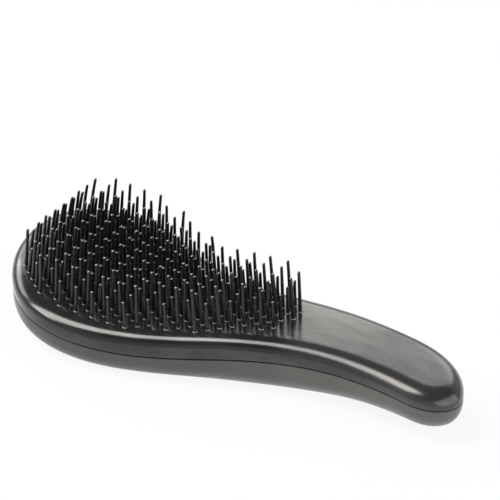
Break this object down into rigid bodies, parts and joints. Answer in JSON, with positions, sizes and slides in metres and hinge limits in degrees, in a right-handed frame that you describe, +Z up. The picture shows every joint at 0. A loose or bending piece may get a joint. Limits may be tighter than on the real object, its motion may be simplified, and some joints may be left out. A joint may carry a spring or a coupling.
{
  "type": "detangling brush",
  "caption": "S-curved detangling hair brush lying on its back: a moulded front shell with a dished face, a back cover, and tapered long and short bristles in alternating columns",
  "frame": {"origin": "centre of the bounding box at its base, on the plane the brush's back rests on", "axes": "+X along the brush from the head's tip to the handle's end, +Z up along the bristles, +Y across"},
  "size_m": [0.185, 0.0763, 0.0386],
  "materials": {
    "front_plastic": "satin gloss",
    "cover_plastic": "satin gloss",
    "bristle_plastic": "gloss"
  },
  "bodies": {
    "root": {"front_shell": "front_plastic", "back_cover": "cover_plastic", "long_bristles": "bristle_plastic", "short_bristles": "bristle_plastic"}
  },
  "joints": []
}
